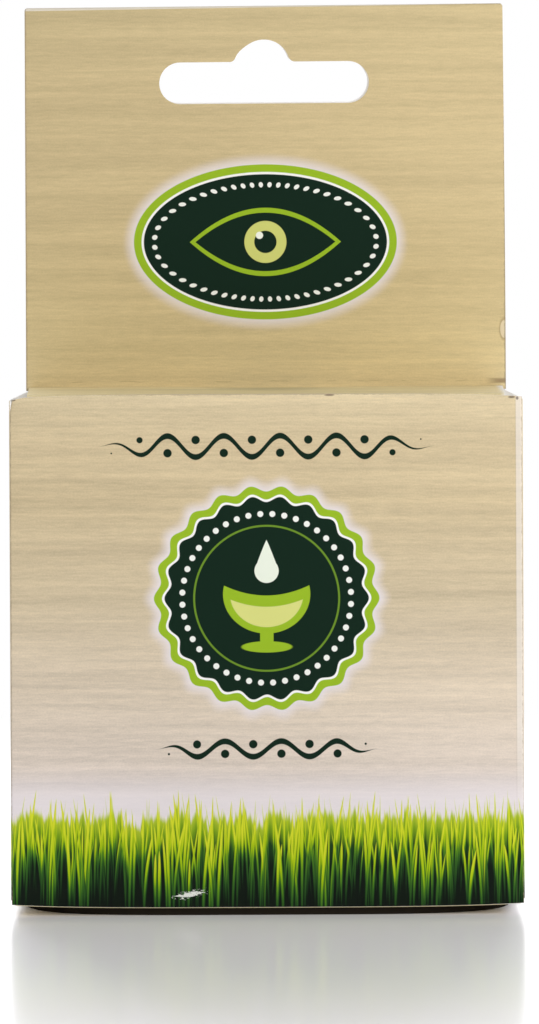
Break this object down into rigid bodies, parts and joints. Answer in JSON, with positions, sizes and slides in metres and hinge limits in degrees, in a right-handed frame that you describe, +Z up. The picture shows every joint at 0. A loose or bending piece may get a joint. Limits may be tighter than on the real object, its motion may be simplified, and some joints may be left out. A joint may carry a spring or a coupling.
{
  "type": "boxed glass eye bath",
  "caption": "Folding carton with a hanging header, tuck lids and a board cradle that carries a footed glass eye bath.",
  "frame": {"origin": "on the floor under the middle of the carton", "axes": "+Z up, printed front facing -Y, hanging header at +Y"},
  "size_m": [0.073, 0.044, 0.1312],
  "materials": {
    "printed_board": "satin coated carton board, printed pale wood grain outside and white inside",
    "plain_board": "uncoated white carton board",
    "cradle_board": "uncoated off-white carton board",
    "clear_glass": "clear pressed glass, ground rim"
  },
  "bodies": {
    "carton": {"front_panel": "printed_board", "back_panel": "printed_board", "header_front_ply": "printed_board", "left_side_panel": "printed_board", "right_side_panel": "printed_board", "glue_seam_flap": "plain_board", "cradle_deck": "cradle_board", "cradle_leg_left": "cradle_board", "cradle_leg_right": "cradle_board", "cradle_skirt_front": "cradle_board", "cradle_skirt_rear": "cradle_board"},
    "top_lid": {"top_lid": "printed_board"},
    "top_tuck_flap": {"top_tuck_flap": "printed_board"},
    "top_dust_flap_left": {"top_dust_flap_left": "plain_board"},
    "top_dust_flap_right": {"top_dust_flap_right": "plain_board"},
    "bottom_lid": {"bottom_lid": "printed_board"},
    "bottom_tuck_flap": {"bottom_tuck_flap": "printed_board"},
    "bottom_dust_flap_left": {"bottom_dust_flap_left": "plain_board"},
    "bottom_dust_flap_right": {"bottom_dust_flap_right": "plain_board"},
    "eye_cup": {"eye_cup": "clear_glass"}
  },
  "joints": [
    {"name": "top_lid_hinge", "type": "hinge", "parent": "carton", "child": "top_lid", "pos_m": [0, 0.0209, 0.073], "axis": [-1, 0, 0], "range_deg": [0, 88]},
    {"name": "top_tuck_hinge", "type": "hinge", "parent": "top_lid", "child": "top_tuck_flap", "pos_m": [0, -0.02075, 0.0725], "axis": [1, 0, 0], "range_deg": [0, 66]},
    {"name": "top_dust_left_hinge", "type": "hinge", "parent": "carton", "child": "top_dust_flap_left", "pos_m": [-0.0365, 0, 0.0724], "axis": [0, -1, 0], "range_deg": [0, 88]},
    {"name": "top_dust_right_hinge", "type": "hinge", "parent": "carton", "child": "top_dust_flap_right", "pos_m": [0.0365, 0, 0.0724], "axis": [0, 1, 0], "range_deg": [0, 88]},
    {"name": "bottom_lid_hinge", "type": "hinge", "parent": "carton", "child": "bottom_lid", "pos_m": [0, -0.022, 0], "axis": [-1, 0, 0], "range_deg": [0, 90]},
    {"name": "bottom_tuck_hinge", "type": "hinge", "parent": "bottom_lid", "child": "bottom_tuck_flap", "pos_m": [0, 0.02075, 0.0005], "axis": [1, 0, 0], "range_deg": [0, 67.5]},
    {"name": "bottom_dust_left_hinge", "type": "hinge", "parent": "carton", "child": "bottom_dust_flap_left", "pos_m": [-0.0365, 0, 0.0006], "axis": [0, 1, 0], "range_deg": [0, 90]},
    {"name": "bottom_dust_right_hinge", "type": "hinge", "parent": "carton", "child": "bottom_dust_flap_right", "pos_m": [0.0365, 0, 0.0006], "axis": [0, -1, 0], "range_deg": [0, 90]},
    {"name": "eye_cup_lift", "type": "slide", "parent": "carton", "child": "eye_cup", "axis": [0, 0, 1], "range_m": [0, 0.016]}
  ],
  "couplings": [
    {"joint": "top_tuck_hinge", "follows": "top_lid_hinge", "ratio": 0.75},
    {"joint": "top_dust_left_hinge", "follows": "top_lid_hinge", "ratio": 1},
    {"joint": "top_dust_right_hinge", "follows": "top_lid_hinge", "ratio": 1},
    {"joint": "bottom_tuck_hinge", "follows": "bottom_lid_hinge", "ratio": 0.75},
    {"joint": "bottom_dust_left_hinge", "follows": "bottom_lid_hinge", "ratio": 1},
    {"joint": "bottom_dust_right_hinge", "follows": "bottom_lid_hinge", "ratio": 1}
  ]
}
